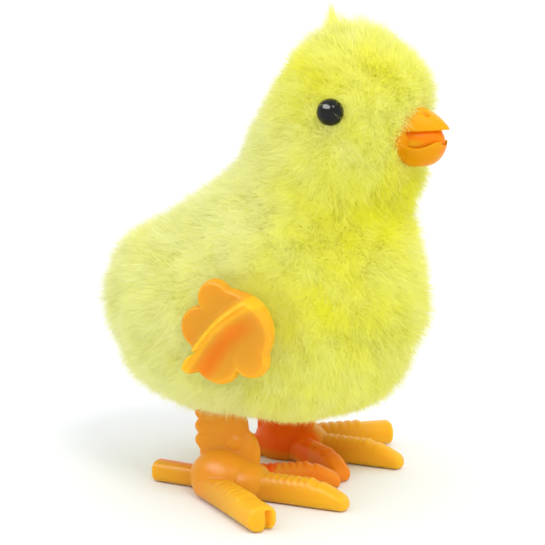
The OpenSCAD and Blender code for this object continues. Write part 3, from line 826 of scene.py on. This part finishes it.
def windingWing():
    rows, cols = 76, 300
    rim = np.linspace(0, 1, rows)[:, None]
    angle = np.linspace(0, 2 * math.pi, cols, endpoint=False)
    edge = wingEdge(angle)[None, :]
    px, pz = rim * edge * np.cos(angle), rim * edge * np.sin(angle)
    bevel = np.sqrt(np.clip(1 - ((rim - 0.90) / 0.10).clip(0, 1) ** 2, 0, 1))
    top, tone = wingFace(px, pz, rim)
    front = 1.0 + (top - 1.0) * bevel
    back = 1.0 - 1.0 * bevel[::-1] + 0 * px
    upper = np.stack([wing["x"] + px, -(wing["y"] + front), wing["z"] + pz], -1)
    lower = np.stack([wing["x"] + px[::-1], -(wing["y"] + back), wing["z"] + pz[::-1]], -1)
    rings = np.concatenate([upper[1:], lower[1:-1]])
    tones = np.concatenate([tone[1:], tone[::-1][1:-1]]).ravel()
    return outward(paintLightAndShade(loft("windingWing", rings), np.append(tones, [tone[0, 0], 0.4])))


wingPiece = windingWing()
dress(wingPiece, orangePlastic, "winder")
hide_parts("winding_wing", "wing_screw")
print("wing set")


# toe: rings along a line from the ankle, flat below and domed above, ribbed on top;
# a claw slopes down past a small step, a blunt end is cut square with a notch
def toe(rootX, rootY, length, bearing, ribs, end, side):
    rows, cols = 180, 64
    t = 1 - (1 - np.linspace(0, 1, rows)[:, None]) ** 1.5
    a = np.linspace(0, 2 * math.pi, cols, endpoint=False)[None, :]
    up = np.sin(a)
    if end == "claw":
        claw = np.clip((t - 0.76) / 0.24, 0, 1)
        cap = np.sqrt(np.clip(1 - ((t - 0.95) / 0.05).clip(0, 1) ** 2, 0, 1))
        high = 4.9 - 2.6 * claw ** 1.3 - 0.28 * np.exp(-((t - 0.755) / 0.012) ** 2)
        wide = 4.5 - 1.1 * claw ** 2
    else:
        cap = np.sqrt(np.clip(1 - ((t - 0.955) / 0.045).clip(0, 1) ** 2, 0, 1))
        high = (4.7 if end == "blunt" else 4.1) + 0 * t
        wide = (5.5 if end == "blunt" else 4.3) - 0.3 * np.sin(math.pi * np.clip(t / 0.8, 0, 1))
    beat = np.clip((t - 0.28) / 0.44, 0, 1)
    rib = np.abs(np.sin(math.pi * ribs * beat)) ** 0.6 * ((t > 0.28) & (t < 0.72))
    high = high + foot["ribHigh"] * rib * (up > 0) * np.abs(up) ** 1.2
    y = wide / 2 * cap * np.sign(np.cos(a)) * np.abs(np.cos(a)) ** 0.75
    z = high / 2 * (1 + cap * np.sign(up) * np.abs(up) ** 0.75)
    x = length * t + 0 * a
    if end == "blunt":
        x = x - 1.5 * np.clip((t - 0.9) / 0.08, 0, 1) * np.exp(-((y + 0.9) / 0.55) ** 2) * (z < 3.9)
    turn = math.radians(bearing)
    px = foot["x"] + rootX + x * math.cos(turn) - y * math.sin(turn)
    py = side * (foot["y"] + rootY + x * math.sin(turn) + y * math.cos(turn))
    return loft("toe", np.stack([px, py, z + 0.02], -1))


# leg plate: level rings from the ankle up, a rounded oblong whose rear edge steps out in feather tiers
# with a crease across the outer face between them
def legPlate(side):
    rows, cols = 150, 64
    z = np.linspace(5.0, 22.7, rows)[:, None]
    a = np.linspace(0, 2 * math.pi, cols, endpoint=False)[None, :]
    tier = np.mod((16.6 - z) / 2.7, 1.0)
    shown = (z > 8.3) & (z < 16.9)
    swell = np.sin(math.pi * tier) ** 0.55
    rear = 1.0 * swell * shown
    front = 0.35 * np.sin(math.pi * np.mod((15.2 - z) / 3.6, 1.0)) ** 0.6 * shown
    half = foot["legWide"] / 2 - 0.5
    thick = foot["legThick"] / 2 * (1 + 0.16 * swell * shown)
    c, s = np.cos(a), np.sin(a)
    middle = foot["legX"] + foot["legShift"] * np.clip((19 - z) / 3, 0, 1)
    x = middle + (half + np.where(c < 0, rear, front)) * np.sign(c) * np.abs(c) ** 0.35
    y = side * foot["legY"] + thick * np.sign(s) * np.abs(s) ** 0.55
    return loft("plate", np.stack([x, y + 0 * z, z + 0 * a], -1))


# guide ring at the leg's head: a flat band swept round the window
def guideRing(side):
    rows, cols = 72, 24
    u = np.linspace(0, 2 * math.pi, rows, endpoint=False)[:, None]
    a = np.linspace(0, 2 * math.pi, cols, endpoint=False)[None, :]
    middle = (foot["windowR"] + foot["rimR"]) / 2 + 0.05
    half = (foot["rimR"] - foot["windowR"]) / 2
    r = middle + half * np.sign(np.cos(a)) * np.abs(np.cos(a)) ** 0.5
    y = side * foot["legY"] + foot["legThick"] / 2 * np.sign(np.sin(a)) * np.abs(np.sin(a)) ** 0.5
    ring = np.stack([foot["legX"] + r * np.cos(u), y + 0 * u, foot["windowZ"] + r * np.sin(u)], -1)
    points = ring.reshape(-1, 3)
    quads = gridFaces(rows, cols)
    last = np.arange(cols)
    following = (last + 1) % cols
    close = np.stack([(rows - 1) * cols + last, (rows - 1) * cols + following, following, last], -1)
    return makeMesh("ring", points, np.vstack([quads, close]))


# painted light and shade of a foot: painted light on the outer side and towards the ends of the toes, painted
# shade on the side that faces the other foot under the body
def legLightAndShade(point, side):
    x, z = point[:, 0], point[:, 2]
    y = side * point[:, 1]
    # painted light on the outer side and towards the ends of the toes
    outerLight = np.clip((y - 6) / 8, 0, 1)
    away = np.clip((np.hypot(x - foot["x"], y - foot["y"]) - 7) / 13, 0, 1)
    # painted shade on the side that faces the other foot
    innerShade = np.clip((13.4 - y) / 2.2, 0, 1) * (x < 4) * np.clip((z - 1.5) / 2, 0, 1)
    return 0.10 + 0.32 * outerLight + 0.45 * away * (0.3 + 0.7 * outerLight) - 0.38 * innerShade


# ankle dome, instep, front lump, plate, guide ring and toes in one moulding, pressed flat at the sole
def legPiece(name, side, node, body):
    parts = [toe(*row, side) for row in foot["toes"]]
    parts.append(ball((foot["x"] - 0.6, side * (foot["y"] + 0.4), 3.4), (6.6, 5.9, 5.5)))
    parts.append(ball((foot["x"] + 3.8, side * foot["y"], 3.1), (4.9, 4.9, 3.9)))
    parts.append(ball((foot["x"] + 1.6, side * (foot["legY"] + 0.9), 10.2), (1.9, 1.1, 1.7)))
    parts.append(ball((foot["x"] + 2.8, side * (foot["legY"] + 0.15), 8.2), (3.5, 1.5, 4.6)))
    parts.append(ball((foot["x"] + 1.5, side * (foot["legY"] + 0.1), 12.2), (2.4, 1.4, 4.8)))
    parts.append(legPlate(side))
    parts.append(guideRing(side))
    for part in parts:
        outward(part)
    piece = fuse(parts, name, foot["voxel"], foot["soften"])
    places = placesOf(piece)
    places[:, 2] = np.maximum(places[:, 2], 0.02)
    piece.data.vertices.foreach_set("co", (places * mm).ravel())
    paintLightAndShade(piece, legLightAndShade(places, side))
    dress(piece, orangePlastic, body)
    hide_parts(node)
    return piece


legPiece("legRight", -1, "leg_right", "right_leg")
legPiece("legLeft", 1, "leg_left", "left_leg")
print("legs set")


cadFinish = {
    "eye_washer_right": nylon, "eye_washer_left": nylon, "beak_washer": nylon, "base_pan": nylon,
    "base_screws": steel, "case_right": casePlastic, "case_left": casePlastic, "case_screws": steel,
    "mainspring": blueSteel, "winding_shaft": steel, "great_wheel": nylon,
    "second_wheel": nylon, "second_arbor": steel, "crank_axle": steel, "crank_pinion": nylon,
    "crank_right": nylon, "crank_left": nylon, "pin_screw_right": steel, "pin_screw_left": steel,
}
for node, material in cadFinish.items():
    solid = bpy.data.objects[node]
    if not solid.material_slots:
        solid.data.materials.append(material)
    for place in solid.material_slots:
        place.material = material
print("clockwork dressed")


studio = {
    "look": (-4.0, 0.0, 45.0), "azimuth": 24.85, "elevation": 9.24, "distance": 318.0, "focal": 109.2,
    "right": 2.58, "down": 4.65, "sky": 1.06,
    # soft overhead sun: azimuth and height in degrees, strength, and how wide it is in degrees
    "sun": (52, 50, 0.86, 22),
    # place, width, height and power in watts of the window-like light that only shows as a sheen
    "gleam": ((-150, -330, 430), 620, 300, 9.0),
}


def direction(azimuth, elevation):
    a, e = math.radians(azimuth), math.radians(elevation)
    back = np.array([math.sin(a) * math.cos(e), -math.cos(a) * math.cos(e), math.sin(e)])
    right = np.array([math.cos(a), math.sin(a), 0])
    return right, np.cross(back, right), back


def aim(thing, place, target):
    thing.location = place * mm
    thing.rotation_euler = Vector(target - place).to_track_quat("-Z", "Y").to_euler()


def studioSet():
    right, up, back = direction(studio["azimuth"], studio["elevation"])
    centre = np.array(studio["look"])
    camera = bpy.data.objects.new("camera", bpy.data.cameras.new("camera"))
    camera.data.lens = studio["focal"]
    camera.data.clip_start = 0.01
    camera.data.clip_end = 10
    scene.collection.objects.link(camera)
    aim(camera, centre + back * studio["distance"], centre + right * studio["right"] - up * studio["down"])
    scene.camera = camera
    place, width, height, power = studio["gleam"]
    lamp = bpy.data.lights.new("gleam", "AREA")
    lamp.shape = "ELLIPSE"
    lamp.size = width * mm
    lamp.size_y = height * mm
    lamp.energy = power
    box = bpy.data.objects.new(lamp.name, lamp)
    box.visible_diffuse = False
    box.visible_transmission = False
    scene.collection.objects.link(box)
    aim(box, np.array(place, float), np.array([0, 0, 40.0]))
    azimuth, height, strength, width = studio["sun"]
    sun = bpy.data.objects.new("sun", bpy.data.lights.new("sun", "SUN"))
    sun.data.energy = strength
    sun.data.angle = math.radians(width)
    scene.collection.objects.link(sun)
    aim(sun, direction(azimuth, height)[2] * 400.0, np.zeros(3))
    sky = bpy.data.worlds.new("sky")
    sky.use_nodes = True
    sky.node_tree.nodes["Background"].inputs[0].default_value = (1, 1, 1, 1)
    sky.node_tree.nodes["Background"].inputs[1].default_value = studio["sky"]
    scene.world = sky
    scene.view_settings.view_transform = "Standard"
    reach = 3000.0
    floor = makeMesh("floor", np.array([[-reach, -reach, 0], [reach, -reach, 0], [reach, reach, 0],
                                        [-reach, reach, 0]]), [[0, 1, 2, 3]], False)
    paper = Finish("palePaper")
    floor.data.materials.append(paper.done(paper.surface({"Base Color": (0.885, 0.90, 0.93, 1),
                                                          "Roughness": 0.9, "Specular IOR Level": 0.1})))


studioSet()
print("studio set")
